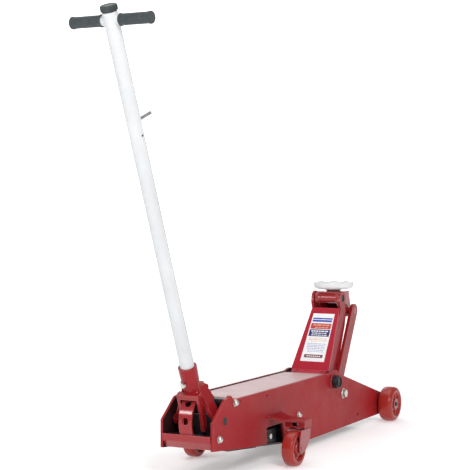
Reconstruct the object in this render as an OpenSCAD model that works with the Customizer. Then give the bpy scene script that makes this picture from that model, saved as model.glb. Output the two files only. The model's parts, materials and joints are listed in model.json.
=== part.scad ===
// Long-chassis hydraulic trolley jack with a lean-back T-handle.
// Units are millimetres. +X points from the handle end to the lifting end, +Z up.
// The origin is on the floor, under the middle of the jack's bounding box.

/* [Chassis] */
// Width over the outer faces of the two side plates
chassis_w = 166; // [164:1:170]
// Thickness of each side plate
plate_t = 8; // [7:0.5:8]
// Gap between the side plates and the floor
floor_gap = 25; // [22:1:28]
// Thickness of the top cover sheet
cover_t = 3; // [2:0.5:4]
// Width of the curved strap with the handle stop holes
strap_w = 40; // [34:1:42]
// Thickness of the curved strap
strap_t = 6; // [5:0.5:7]

/* [Handle] */
// Lean of the handle from upright, as stored
handle_tilt = 23; // [20:1:26]
// Handle pivot to the T-bar, along the handle
handle_len = 1150; // [1000:10:1200]
// Outside diameter of the handle tube
tube_d = 40; // [38:1:42]
// Outside diameter of the socket that holds the tube
socket_d = 53; // [52:1:56]
// Overall width of the T-bar over its grips
tbar_w = 239; // [220:1:280]
// Diameter of the two rubber grips
grip_d = 30; // [29:1:34]
// Diameter of the release knob
knob_d = 45; // [40:1:48]
// How far the lock peg stands out of the tube
peg_out = 40; // [30:1:50]

/* [Lifting arm] */
// Angle of the arm above level, as stored
arm_angle = 60; // [56:1:62]
// Lift pivot to saddle pivot
arm_len = 304; // [300:1:306]
// Half width of the arm's top plate at the lift pivot
arm_low_half = 68; // [64:1:70]
// Half width of the arm's top plate at the saddle end
arm_high_half = 50; // [49:0.5:52]
// Diameter of the saddle
saddle_d = 136; // [126:2:138]
// Diameter of the lift pivot shaft
lift_shaft_d = 30; // [26:1:32]

/* [Wheels] */
// Diameter of the front wheels
front_wheel_d = 121; // [118:1:124]
// Width of the front wheels
front_wheel_w = 52; // [46:1:54]
// Diameter of the front axle
axle_d = 28; // [24:1:30]
// Diameter of the caster wheels
caster_wheel_d = 104; // [100:1:104]
// Width of the caster wheels
caster_wheel_w = 37; // [32:1:38]
// How far each caster wheel trails behind its swivel
caster_trail = 42; // [36:1:44]

/* [Hidden] */
$fn = 64;

// Chassis lines, in a frame whose x = 0 is the rear edge of the side plates
half_w = chassis_w / 2;
inner_y = half_w - plate_t;
deck_z = 218;
pivot_x = 70;
pivot_z = 165;
lift_x = 836;
lift_z = 187;
axle_x = 1272;
axle_z = front_wheel_d / 2;
link_dx = 80;
link_dz = -48;
link_x = lift_x + link_dx;
link_z = lift_z + link_dz;
nose_r = 36;
wheel_y = half_w + 6.4 + front_wheel_w / 2;
axle_end = wheel_y + front_wheel_w / 2 - 4.5;

// Casters
swivel_x = 390;
swivel_y = half_w + 82;
caster_r = caster_wheel_d / 2;
crown_z = 106;
bracket_z = 132;

// Handle
knob_z = handle_len + grip_d / 2 + 8;
knob_h = 17;
socket_low = 95;
socket_step = 119;
socket_top = 168;
socket_r = 24;
strap_r = 79;
tube_r = tube_d / 2;
tube_bore = tube_r - 3;
tbar_r = 13.4;
stop_hole_r = 10.5;
lock_r = 10.2;
peg_z = 882;
peg_turn = -20;
screw_turn = -104;
pin_r = 11;
fit = 0.06;

// Lifting arm
arm_pin_x = lift_x + arm_len * cos(arm_angle);
arm_pin_z = lift_z + arm_len * sin(arm_angle);
horn_lean = -116;
horn_r = 85;
slot_z = 112;
unit_z = 120;
cylinder_r = 33;
reservoir_r = 52;
horn_x = lift_x + horn_r * cos(arm_angle + horn_lean);
horn_z = lift_z + horn_r * sin(arm_angle + horn_lean);
saddle_dx = 43;
saddle_top = 54;
saddle_floor = 38;

// Row origin, under the middle of the whole jack
reach_back = pivot_x - (knob_z + knob_h - 2) * sin(handle_tilt) - knob_d / 2 * cos(handle_tilt);
reach_front = axle_x + front_wheel_d / 2;
rear_x = -(reach_back + reach_front) / 2;

red = [0.72, 0.1, 0.12];
zinc = [0.78, 0.79, 0.8];
dark = [0.12, 0.12, 0.13];
steel = [0.55, 0.56, 0.58];
white = [0.93, 0.93, 0.92];

// Points along an arc, from angle a0 to angle a1
function arc(x, z, r, a0, a1, n) =
  [for (i = [0 : n]) let (a = a0 + (a1 - a0) * i / n) [x + r * cos(a), z + r * sin(a)]];

// Placing helpers
module place() translate([rear_x, 0, 0]) children();

module left_side() mirror([0, 1, 0]) children();

module both_sides() {
  children();
  mirror([0, 1, 0]) children();
}

module plate_xz(y0, y1) translate([0, y1, 0]) rotate([90, 0, 0]) linear_extrude(y1 - y0) children();

module y_rod(x, z, r, y0, y1) translate([x, y0, z]) rotate([-90, 0, 0]) cylinder(r = r, h = y1 - y0);

module y_hex(x, z, r, y0, y1) translate([x, y0, z]) rotate([-90, 0, 0]) cylinder(r = r, h = y1 - y0, $fn = 6);

module x_rod(x0, x1, z, r) translate([x0, 0, z]) rotate([0, 90, 0]) cylinder(r = r, h = x1 - x0);

module handle_frame() translate([pivot_x, 0, pivot_z]) rotate([0, -handle_tilt, 0]) children();

module arm_frame() translate([lift_x, 0, lift_z]) rotate([0, -arm_angle, 0]) children();

// Side plates
module plate_outline() {
  difference() {
    polygon(concat(
      [[0, 90], [0, 168], [72, 224]],
      arc(102, 218, 14, 140, 40, 10),
      [[124, deck_z], [806, deck_z]],
      arc(840, 142, 82, 106, 62, 10),
      [[926, 196]],
      arc(axle_x, floor_gap + nose_r, nose_r, 74, -90, 18),
      [[640, floor_gap]]
    ));
    polygon([[277, 40], [277, 61], [337, 61], [337, 108], [445, 108], [470, 42], [470, 20]]);
    translate([pivot_x, pivot_z]) circle(pin_r + fit / 2);
    translate([lift_x, lift_z]) circle(lift_shaft_d / 2 + fit / 2);
    translate([axle_x, axle_z]) circle(axle_d / 2 + fit / 2);
    translate([link_x, link_z]) circle(9 + fit / 2);
    for (p = bolt_points)
      translate(p) circle(5 + fit / 2);
    translate([1050, 51]) circle(6);
    translate([337, 202]) circle(5);
    translate([166, 208]) circle(3);
  }
}

tube_points = [[130, 208], [34, 119]];
trunnion_point = [560, 115];
bolt_points = [[130, 208], [34, 119], [560, 115]];

// The two side plates, each with a boss welded round the lift pivot
module side_plates() color(red) place() both_sides() difference() {
  union() {
    plate_xz(-half_w, -inner_y) plate_outline();
    y_rod(lift_x, lift_z, 24, -half_w - 3, -half_w + 1);
  }
  y_rod(lift_x, lift_z, lift_shaft_d / 2 + fit / 2, -half_w - 10, -inner_y + 1);
}

// Sheet cover over the hydraulic unit, with its long edges and rear edge turned down
module top_cover() color(red) place() difference() {
  translate([178, -inner_y + 0.4, deck_z - 26]) cube([614, 2 * inner_y - 0.8, 26 - 3]);
  translate([178 + cover_t, -inner_y + 0.4 + cover_t, deck_z - 30])
    cube([640, 2 * (inner_y - 0.4 - cover_t), 27 - cover_t]);
}

// Folded cross tray at the rear, under the handle yoke
module rear_tray() color(red) place() rotate([90, 0, 0]) translate([0, 0, -inner_y])
  linear_extrude(2 * inner_y)
    polygon([[-6, 131], [-3, 112], [18, 90], [104, 80], [104, 85], [21, 95], [4, 114], [2, 131]]);

// Curved strap with the stop holes, centred on the handle pivot
module handle_strap() color(red) place() difference() {
  translate([pivot_x, 0, pivot_z]) rotate([90, 0, 0]) translate([0, 0, -strap_w / 2])
    rotate([0, 0, 44]) rotate_extrude(angle = 164)
      translate([strap_r - strap_t, 0]) square([strap_t, strap_w]);
  for (a = [0, handle_tilt, 50, 87])
    translate([pivot_x, 0, pivot_z]) rotate([0, -a, 0]) translate([0, 0, strap_r - 20])
      cylinder(r = stop_hole_r, h = 40);
  translate([-20, -strap_w, 101]) cube([60, 2 * strap_w, 30]);
}

// Height of the sloping belly plate's upper face, with a little clearance
function belly_top(x) = 79.6 - (73.5 - floor_gap) * (x - 104) / 496;

// Bent plate that ties the chassis together underneath, narrowed where the casters swing
module belly_plate() color(red) place() difference() {
  plate_xz(-inner_y, inner_y)
    polygon([
      [104, 79.5], [104, 74], [600, floor_gap + 1], [1080, floor_gap + 1],
      [1080, floor_gap + 6], [600, floor_gap + 6]
    ]);
  both_sides() translate([280, 66, 0]) cube([200, 20, 120]);
}

// Cross tubes between the plates, and the bolts through them
module spacer_tubes() color(dark) place() {
  for (p = tube_points)
    difference() {
      y_rod(p[0], p[1], 9, -inner_y, inner_y);
      y_rod(p[0], p[1], 5 + fit / 2, -inner_y - 1, inner_y + 1);
    }
  both_sides() difference() {
    y_rod(trunnion_point[0], trunnion_point[1], 12, cylinder_r + 0.2, inner_y);
    y_rod(trunnion_point[0], trunnion_point[1], 5 + fit / 2, 45, inner_y + 1);
  }
}

module dome(r, h) intersection() {
  translate([0, 0, h - (r * r + h * h) / (2 * h)]) sphere(r = (r * r + h * h) / (2 * h));
  cylinder(r = r, h = h);
}

module spacer_bolts() color(zinc) place()
  for (p = bolt_points) {
    both_sides() y_rod(p[0], p[1], 5, p == trunnion_point ? 46 : 0, half_w + 3);
    y_rod(p[0], p[1], 11, -half_w - 2, -half_w);
    y_rod(p[0], p[1], 9, -half_w - 5, -half_w - 2);
    translate([p[0], -half_w - 5, p[1]]) rotate([90, 0, 0]) dome(9, 7);
    y_rod(p[0], p[1], 11, half_w, half_w + 2);
    y_hex(p[0], p[1], 9.5, half_w + 2, half_w + 10);
  }

// Front axle, the rings beside it and its end caps
module front_axle() color(steel) place() difference() {
  y_rod(axle_x, axle_z, axle_d / 2, -axle_end, axle_end);
  both_sides() y_rod(axle_x, axle_z, 5 + fit / 2, axle_end - 16, axle_end + 1);
}

module ring(x, z, r, bore, y0, y1) difference() {
  y_rod(x, z, r, y0, y1);
  y_rod(x, z, bore, y0 - 1, y1 + 1);
}

module spacer_rings() color(steel) place() both_sides() {
  ring(axle_x, axle_z, 21, axle_d / 2 + fit / 2, half_w, half_w + 5.9);
  ring(link_x, link_z, 14, 9 + fit / 2, 65.6, inner_y);
}

module axle_caps() color(red) place() both_sides()
  ring(axle_x, axle_z, 19, 5 + fit / 2, axle_end, axle_end + 3);

module axle_bolts() color(dark) place() both_sides() {
  y_rod(axle_x, axle_z, 5, axle_end - 15, axle_end + 3);
  y_hex(axle_x, axle_z, 8, axle_end + 3, axle_end + 6);
}

// Stub pins that carry the handle yoke
module yoke_pins() color(dark) place() both_sides() {
  y_rod(pivot_x, pivot_z, pin_r, 58.2, half_w);
  y_rod(pivot_x, pivot_z, 12, half_w, half_w + 1);
}

// Lift pivot
module lift_shaft() color(steel) place() y_rod(lift_x, lift_z, lift_shaft_d / 2, -half_w - 21, half_w + 21);

module lift_nuts() color(dark) place() both_sides() difference() {
  union() {
    y_hex(lift_x, lift_z, 23, half_w + 3, half_w + 18);
    y_rod(lift_x, lift_z, 18, half_w + 18, half_w + 24);
  }
  y_rod(lift_x, lift_z, lift_shaft_d / 2 + fit / 2, half_w, half_w + 40);
}

// Pivot bolts of the two link bars
module link_pivot_bolts() color(zinc) place() both_sides() {
  y_rod(link_x, link_z, 9, 54.6, half_w);
  y_rod(link_x, link_z, 17, half_w, half_w + 3);
  y_hex(link_x, link_z, 14, half_w + 3, half_w + 13);
}

// Caster brackets, each a bent sheet on top of a boxed seat with a window for the nut
module caster_bracket() {
  difference() {
    union() {
      intersection() {
        translate([300, 0, 0]) rotate([90, 0, 90]) linear_extrude(180)
          polygon([
            [-half_w, bracket_z + 10], [-half_w, bracket_z + 4], [-118, bracket_z - 6],
            [-swivel_y - 28, bracket_z - 6], [-swivel_y - 28, bracket_z], [-118, bracket_z]
          ]);
        linear_extrude(200)
          polygon([[341, -half_w], [437, -half_w], [415, -swivel_y - 28], [365, -swivel_y - 28]]);
      }
      translate([365, -swivel_y - 28, crown_z + 3]) cube([50, 64, bracket_z - 1 - crown_z - 3]);
    }
    translate([369, -swivel_y - 24, crown_z + 8]) cube([42, 56, bracket_z - 6 - crown_z - 8]);
    translate([360, -swivel_y - 6, crown_z + 8]) cube([20, 20, bracket_z - 8 - crown_z - 8]);
    translate([swivel_x, -swivel_y, 50]) cylinder(r = 10 + fit / 2, h = 80);
  }
}

module caster_brackets() color(red) place() both_sides() caster_bracket();

// King bolts with their races, one on each side of the fork's crown
module caster_king_bolts() color(zinc) place() both_sides() translate([swivel_x, -swivel_y, 0]) {
  translate([0, 0, crown_z - 6.8]) cylinder(r = 13, h = 2.2);
  translate([0, 0, crown_z - 5]) cylinder(r = 10, h = 23);
  translate([0, 0, crown_z + 0.6]) cylinder(r = 22, h = 2.4);
  translate([0, 0, crown_z + 8]) cylinder(r = 16, h = 10, $fn = 6);
}

// Swivelling part of a caster, drawn about its swivel and trailing along -X
module caster_seat(side) place() translate([swivel_x, side * swivel_y, 0]) children();

fork_y = caster_wheel_w / 2 + 3;

module caster_fork() color(red) {
  difference() {
    union() {
      translate([0, 0, crown_z - 4]) cylinder(r = 22, h = 4);
      translate([-21, -fork_y - 5, crown_z - 4]) cube([36, 2 * fork_y + 10, 4]);
    }
    cylinder(r = 10 + fit, h = 200);
  }
  for (s = [-1, 1])
    difference() {
      plate_xz(s * (fork_y + 2.5) - 2.5, s * (fork_y + 2.5) + 2.5)
        polygon(concat(
          [[20, crown_z], [-caster_trail - 4, crown_z], [-caster_trail - 13, caster_r + 18]],
          arc(-caster_trail, caster_r, 15, 170, 300, 10),
          [[-17, 42], [2, 56], [13, 69], [19, 90]]
        ));
      translate([-caster_trail, 0, 0]) y_rod(0, caster_r, 8 + fit / 2, -60, 60);
    }
}

module caster_axle() color(red) translate([-caster_trail, 0, 0]) {
  y_rod(0, caster_r, 8, -fork_y - 5.6, fork_y + 5.6);
  y_rod(0, caster_r, 5, -fork_y - 6.4, fork_y + 6.4);
}

// Crowned wheel with a ribbed recess, from y = 0 at its outer face to y = w
module wheel_rim(r, w, bore, hub_start) rotate([-90, 0, 0]) rotate_extrude()
  polygon(concat(
    [[bore, hub_start], [0.38 * r, hub_start], [0.38 * r, 0.3 * w], [0.7 * r, 0.3 * w]],
    [[0.74 * r, 1.5], [0.78 * r, 0]],
    arc(r - 9, 9, 9, 270, 350, 6),
    [[r, 0.42 * w], [r, 0.58 * w]],
    arc(r - 9, w - 9, 9, 10, 90, 6),
    [[0.78 * r, w], [0.74 * r, w - 1.5], [0.7 * r, 0.7 * w], [0.38 * r, 0.7 * w], [0.38 * r, w], [bore, w]]
  ));

module wheel_ribs(r, w, n) for (i = [0 : n - 1])
  rotate([0, (i + 0.5) * 360 / n, 0]) translate([0.36 * r, 0.15 * w, -2.5]) cube([0.37 * r, 0.7 * w, 5]);

module caster_wheel() color(red) translate([-caster_trail, -caster_wheel_w / 2, caster_r]) {
  wheel_rim(caster_r, caster_wheel_w, 8 + fit, 0);
  wheel_ribs(caster_r, caster_wheel_w, 5);
}

module caster_fork_right() caster_seat(-1) caster_fork();
module caster_axle_right() caster_seat(-1) caster_axle();
module caster_wheel_right() caster_seat(-1) caster_wheel();
module caster_fork_left() caster_seat(1) caster_fork();
module caster_axle_left() caster_seat(1) caster_axle();
module caster_wheel_left() caster_seat(1) caster_wheel();

module front_wheel() color(red) place() translate([axle_x, -wheel_y - front_wheel_w / 2, axle_z]) {
  wheel_rim(axle_z, front_wheel_w, axle_d / 2 + fit, 5.2);
  wheel_ribs(axle_z, front_wheel_w, 6);
}

module front_wheel_right() front_wheel();
module front_wheel_left() left_side() front_wheel();

// Hydraulic unit
module reservoir() color(red) place() difference() {
  x_rod(250, 540, unit_z, reservoir_r);
  x_rod(240, 536, unit_z, reservoir_r - 4);
  x_rod(500, 560, unit_z, cylinder_r + fit / 2);
  translate([300, 0, 150]) cylinder(r = 7 + fit / 2, h = 30);
}

module ram_cylinder() color(steel) place() difference() {
  x_rod(250, 640, unit_z, cylinder_r);
  x_rod(262, 641, unit_z, 27);
}

module cylinder_gland() color(dark) place() difference() {
  union() {
    x_rod(612, 640, unit_z, 26.9);
    x_rod(640, 652, unit_z, 35);
  }
  x_rod(600, 660, unit_z, 16.06);
}

// Cradle that holds the reservoir to the belly plate
module unit_cradle() color(dark) place() difference() {
  plate_xz(-58, 58) polygon([[388, belly_top(388)], [454, belly_top(454)], [454, 91.5], [388, 91.5]]);
  x_rod(380, 460, unit_z, reservoir_r + fit / 2);
  both_sides() y_rod(402, 71, 5 + fit / 2, 48, 60);
}

module pump_block() color(steel) place() difference() {
  translate([196, -58, 72]) cube([54, 116, 102]);
  x_rod(190, 240, 130, 13.06);
  translate([190, -40, 92]) rotate([0, 90, 0]) cylinder(r = 8.06, h = 40);
  translate([223, 30, 160]) cylinder(r = 7.06, h = 20);
}

module pump_barrel() color(steel) place() difference() {
  union() {
    x_rod(150, 196, 130, 20);
    x_rod(196, 238, 130, 13);
  }
  x_rod(140, 232, 130, 9.05);
}

// Filler plug, overload valve and the two cradle bolts
module unit_plugs() color(zinc) place() {
  translate([300, 0, unit_z + reservoir_r - 7]) cylinder(r = 7, h = 8);
  translate([300, 0, unit_z + reservoir_r + 0.5]) cylinder(r = 11, h = 6, $fn = 6);
  translate([223, 30, 164]) cylinder(r = 7, h = 10);
  translate([223, 30, 174]) cylinder(r = 10, h = 8, $fn = 6);
  both_sides() y_rod(402, 71, 5, 50, 58);
  both_sides() y_hex(402, 71, 9, 58, 65);
}

// Spindle that opens the release valve
module release_spindle() color(steel) place() translate([0, -40, 0]) {
  x_rod(150, 228, 92, 8);
  translate([156, 0, 92]) rotate([90, 0, 0]) translate([0, 0, -14]) cylinder(r = 3, h = 28);
}

// Lifting arm
module arm_top_plate() color(red) place() arm_frame() difference() {
  translate([26, 0, 21]) rotate([0, 4.09, 0]) translate([0, 0, -6]) linear_extrude(6)
    polygon([[0, -arm_low_half], [239, -arm_high_half], [239, arm_high_half], [0, arm_low_half]]);
  y_rod(0, 0, 34 + fit / 2, -61, 61);
}

module arm_label() color(white) place() arm_frame() translate([26, 0, 21]) rotate([0, 4.09, 0])
  linear_extrude(0.4) polygon([[33, -43], [216, -39], [216, 39], [33, 43]]);

module cheek_outline() difference() {
  union() {
    circle(36);
    polygon([
      [-8, 14.4], [27, 14], [264, -3], [282, 18], [300, 22], [320, 14], [322, -10], [300, -24],
      [268, -52], [233, -61], [88, -76], [30, -56], [-34, -12]
    ]);
    translate([arm_len, 0]) circle(24);
  }
  circle(34 + fit / 2);
  translate([arm_len, 0]) circle(13 + fit / 2);
  polygon([[25.3, 50], [25.3, 14.96], [90, 10.33], [90, 50]]);
}

module arm_cheeks() color(red) place() arm_frame() both_sides() plate_xz(-53, -45) cheek_outline();

module arm_webs() color(red) place() arm_frame() {
  plate_xz(-45, 45) polygon([[96, -68], [228, -54], [228, -48], [96, -62]]);
  plate_xz(-45, 45) polygon([[222, -48], [228, -48], [228, -7], [222, -7]]);
}

module arm_hub() color(red) place() difference() {
  y_rod(lift_x, lift_z, 34, -60, 60);
  y_rod(lift_x, lift_z, lift_shaft_d / 2 + fit, -61, 61);
}

// Horn that the ram pushes, and its cross pin
module ram_horn() color(red) place() arm_frame() both_sides() plate_xz(-34, -22) difference() {
  union() {
    rotate([0, 0, horn_lean]) translate([0, -24]) square([horn_r, 48]);
    rotate([0, 0, horn_lean]) translate([horn_r, 0]) circle(24);
  }
  circle(34 + fit / 2);
  rotate([0, 0, horn_lean]) translate([horn_r, 0]) circle(10 + fit / 2);
}

module horn_pin() color(steel) place() y_rod(horn_x, horn_z, 10, -36, 36);

module arm_pins() color(dark) place() difference() {
  y_rod(arm_pin_x, arm_pin_z, 13, -53.2, 53.2);
  both_sides() y_rod(arm_pin_x, arm_pin_z, 11, 51, 54);
}

// Link bars that keep the saddle level
module link_bars() color(red) place() both_sides() plate_xz(-65, -54.3) difference() {
  union() {
    translate([link_x, link_z]) rotate([0, 0, arm_angle]) {
      translate([0, 2.5]) circle(23.5);
      translate([arm_len, 2.5]) circle(23.5);
      translate([0, -21]) square([arm_len, 47]);
    }
  }
  translate([link_x, link_z]) circle(9 + fit);
  translate([arm_pin_x + link_dx, arm_pin_z + link_dz]) circle(12 + fit);
}

// Saddle bracket
module saddle_bracket() color(red) place() {
  both_sides() plate_xz(-42.5, -32) difference() {
    polygon([
      [arm_pin_x - 17, arm_pin_z + 11], [arm_pin_x - 17, arm_pin_z - 12], [arm_pin_x - 4, arm_pin_z - 21],
      [arm_pin_x + 60, arm_pin_z - 66], [arm_pin_x + 78, arm_pin_z - 68], [arm_pin_x + 96, arm_pin_z - 56],
      [arm_pin_x + 97, arm_pin_z - 42], [arm_pin_x + 82, arm_pin_z + 4], [arm_pin_x + 78, arm_pin_z + 22],
      [arm_pin_x - 6, arm_pin_z + 22]
    ]);
    translate([arm_pin_x, arm_pin_z]) circle(13 + fit);
    translate([arm_pin_x + link_dx, arm_pin_z + link_dz]) circle(12 + fit / 2);
  }
  plate_xz(-32, 32) polygon([
    [arm_pin_x + 86, arm_pin_z - 32], [arm_pin_x + 92.6, arm_pin_z - 38], [arm_pin_x + 92.6, arm_pin_z - 58],
    [arm_pin_x + 96.5, arm_pin_z - 55], [arm_pin_x + 96.5, arm_pin_z - 42], [arm_pin_x + 80, arm_pin_z + 16],
    [arm_pin_x + 74, arm_pin_z + 16]
  ]);
  ring(arm_pin_x, arm_pin_z, 17, 13 + fit, -32.5, 32.5);
  difference() {
    union() {
      translate([arm_pin_x - 10, -42.5, arm_pin_z + 16]) cube([90, 85, 6]);
      translate([arm_pin_x + saddle_dx, 0, arm_pin_z - 6]) cylinder(r = 24, h = 32);
    }
    translate([arm_pin_x + saddle_dx, 0, arm_pin_z - 7]) cylinder(r = 14.06, h = 40);
  }
}

module link_pin() color(red) place() y_rod(arm_pin_x + link_dx, arm_pin_z + link_dz, 12, -65.4, 65.4);

module saddle() color(white) place() translate([arm_pin_x + saddle_dx, 0, arm_pin_z]) difference() {
  union() {
    translate([0, 0, 26.5]) cylinder(r = 30, h = 4);
    translate([0, 0, 30]) cylinder(r = saddle_d / 2 - 5, h = 4);
    translate([0, 0, 34]) cylinder(r = saddle_d / 2, h = saddle_top - 34);
  }
  translate([0, 0, saddle_floor]) cylinder(r = saddle_d / 2 - 13, h = 20);
  for (i = [0 : 7])
    rotate([0, 0, i * 45]) translate([saddle_d / 2 - 16, 0, saddle_top + 8]) rotate([0, 90, 0])
      cylinder(r = 15, h = 30);
  translate([0, 0, 20]) cylinder(r = 14 + fit / 2, h = 12);
}

module saddle_stem() color(steel) place() translate([arm_pin_x + saddle_dx, 0, arm_pin_z]) {
  translate([0, 0, -12]) cylinder(r = 14, h = 43);
  translate([0, 0, -16]) cylinder(r = 19, h = 4);
}

// Ram, and the slotted head that takes the horn pin
module piston_rod() color(steel) place() {
  x_rod(horn_x - 322, horn_x - 24, unit_z, 16);
  x_rod(horn_x - 344, horn_x - 322, unit_z, 26.9);
}

module crosshead() color(dark) place() difference() {
  translate([horn_x - 24, -20, slot_z - 34]) cube([50, 40, 68]);
  translate([horn_x, 0, slot_z]) plate_xz(-30, 30) {
    translate([-12.5, -12]) square([25, 24]);
    translate([0, 12]) circle(12.5);
    translate([0, -12]) circle(12.5);
  }
}

// Pump plunger, with the wide pad that the lugs push
module pump_plunger() color(dark) place() {
  x_rod(104, 196, 130, 9);
  translate([97, -52, 112]) cube([9, 104, 62]);
}

// Handle yoke, drawn upright: two bent cheeks joined by a crown round the socket
module cheek_bend() polygon([
  [28, 128], [28, 98], [57, 26], [70, 13], [70, -22], [58, -22], [58, 7], [48, 20], [19.5, 95], [19.5, 128]
]);

module cheek_side() polygon(concat(
  [[-7, 124], [3, 119], [13, 112], [26, 103], [37, 93], [36, 88], [30, 84], [33, 78], [31, 66], [22, 47]],
  arc(0, 0, 20, 40, -210, 30),
  [[-20, 30], [-17, 44], [-11.5, 56], [-11.5, 83], [-9, 105]]
));

module yoke() color(red) place() handle_frame() difference() {
  union() {
    both_sides() intersection() {
      translate([-40, 0, 0]) rotate([90, 0, 90]) linear_extrude(80) cheek_bend();
      plate_xz(0, 80) cheek_side();
    }
    translate([-6, -22, 95]) cube([38, 44, 10]);
  }
  both_sides() y_rod(0, 0, pin_r + fit, 40, 80);
  translate([0, 0, 80]) cylinder(r = socket_r + fit / 2, h = 60);
  translate([0, 0, socket_step - 0.2]) cylinder(r = socket_d / 2 - 1.3, h = 30);
}

// Inverted U frame that hangs behind the lock plunger
module inner_frame() color(red) place() handle_frame() {
  translate([-34, -34, 80]) cube([20, 68, 15]);
  both_sides() plate_xz(26, 34)
    polygon([
      [-34, 80.5], [-14, 80.5], [-12, 50], [-11, 16], [-20, -4],
      [-31, -20], [-42, -13], [-39, 8], [-34, 34]
    ]);
}

// Lugs on the cheeks that push the pump plunger
module push_lugs() color(dark) place() handle_frame() both_sides() plate_xz(45, 58)
  polygon(concat([[-14, 6], [14, 6]], arc(0, -38, 8, -10, -170, 12)));

module handle_socket() color(red) place() handle_frame() difference() {
  rotate_extrude() polygon([
    [lock_r + 0.06, socket_low], [socket_r, socket_low], [socket_r, socket_step],
    [socket_d / 2 - 1.6, socket_step + 3], [socket_d / 2, socket_top], [tube_r + fit / 2, socket_top],
    [tube_r + fit / 2, socket_low + 4], [lock_r + 0.06, socket_low + 4]
  ]);
  rotate([0, 0, -16]) translate([-60, 0, 123]) rotate([0, 90, 0]) cylinder(r = 5 + fit / 2, h = 60);
}

module clamp_bolt() color(zinc) place() handle_frame() rotate([0, 0, -16]) {
  translate([-socket_d / 2 - 4, 0, 123]) rotate([0, 90, 0]) cylinder(r = 5, h = socket_d / 2 + 4 - tube_r);
  translate([-socket_d / 2 - 7, 0, 123]) rotate([0, 90, 0]) cylinder(r = 8, h = 7, $fn = 6);
}

module handle_tube() color(white) place() handle_frame() difference() {
  translate([0, 0, socket_low + 4]) cylinder(r = tube_r, h = handle_len + 22 - socket_low - 4);
  translate([0, 0, socket_low]) cylinder(r = tube_bore, h = handle_len);
  y_rod(0, handle_len, tbar_r + fit / 2, -40, 40);
  rotate([0, 0, peg_turn]) translate([tube_bore - 4, -4.8, peg_z - 22]) cube([12, 9.6, 30]);
  rotate([0, 0, screw_turn]) translate([tube_bore - 4, 0, peg_z - 36]) rotate([0, 90, 0])
    cylinder(r = 3, h = 12);
}

module t_bar() color(white) place() handle_frame() difference() {
  y_rod(0, handle_len, tbar_r, -tbar_w / 2 + 4, tbar_w / 2 - 4);
  translate([0, 0, handle_len - 40]) cylinder(r = 6.06, h = 80);
}

module grips() color(dark) place() handle_frame() both_sides() difference() {
  union() {
    y_rod(0, handle_len, grip_d / 2, 26, tbar_w / 2);
    y_rod(0, handle_len, grip_d / 2 + 1.5, 26, 31);
    y_rod(0, handle_len, grip_d / 2 + 1.5, tbar_w / 2 - 6, tbar_w / 2 - 1);
  }
  y_rod(0, handle_len, tbar_r + fit / 2, 20, tbar_w / 2 - 4);
}

// Release knob and the rod it turns
module release_knob() color(dark) place() handle_frame() difference() {
  union() {
    translate([0, 0, knob_z]) cylinder(r = knob_d / 2 - 1.2, h = knob_h);
    for (i = [0 : 17])
      rotate([0, 0, i * 20]) translate([knob_d / 2 - 2.4, 0, knob_z + 1]) cylinder(r = 2.4, h = knob_h - 3);
  }
  translate([0, 0, knob_z - 1]) cylinder(r = 6 + fit / 2, h = 16);
}

module release_rod() color(steel) place() handle_frame() {
  translate([0, 0, 142]) cylinder(r = 6, h = knob_z + 14 - 142);
  translate([-9, -3, 142]) cube([18, 6, 8]);
}

// Lock plunger, its lift bar and the peg that raises it
module lock_plunger() color(steel) place() handle_frame() {
  translate([0, 0, strap_r + 3]) cylinder(r = lock_r, h = 37);
  rotate([0, 0, peg_turn]) {
    translate([0, -3, strap_r + 39]) cube([14.5, 6, 4]);
    translate([11.5, -2.5, strap_r + 39]) cube([4, 5, peg_z + 5 - strap_r - 39]);
    translate([12.5, 0, peg_z]) rotate([0, 84, 0]) cylinder(r = 4.5, h = tube_r + peg_out - 12.5);
  }
}

side_plates();
top_cover();
rear_tray();
handle_strap();
belly_plate();
spacer_tubes();
spacer_bolts();
front_axle();
spacer_rings();
axle_caps();
axle_bolts();
yoke_pins();
lift_shaft();
lift_nuts();
link_pivot_bolts();
caster_brackets();
caster_king_bolts();
reservoir();
ram_cylinder();
cylinder_gland();
unit_cradle();
pump_block();
pump_barrel();
unit_plugs();
release_spindle();
front_wheel_right();
front_wheel_left();
caster_fork_right();
caster_axle_right();
caster_wheel_right();
caster_fork_left();
caster_axle_left();
caster_wheel_left();
arm_top_plate();
arm_label();
arm_cheeks();
arm_webs();
arm_hub();
ram_horn();
horn_pin();
arm_pins();
link_bars();
saddle_bracket();
link_pin();
saddle();
saddle_stem();
piston_rod();
crosshead();
pump_plunger();
yoke();
inner_frame();
push_lugs();
handle_socket();
clamp_bolt();
handle_tube();
t_bar();
grips();
release_knob();
release_rod();
lock_plunger();
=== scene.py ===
"""Looks of the long-chassis trolley jack: materials, detailed pieces, stage, lights and camera."""

import json
import math
import random

import bmesh
import bpy
from mathutils import Matrix, Vector


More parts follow.
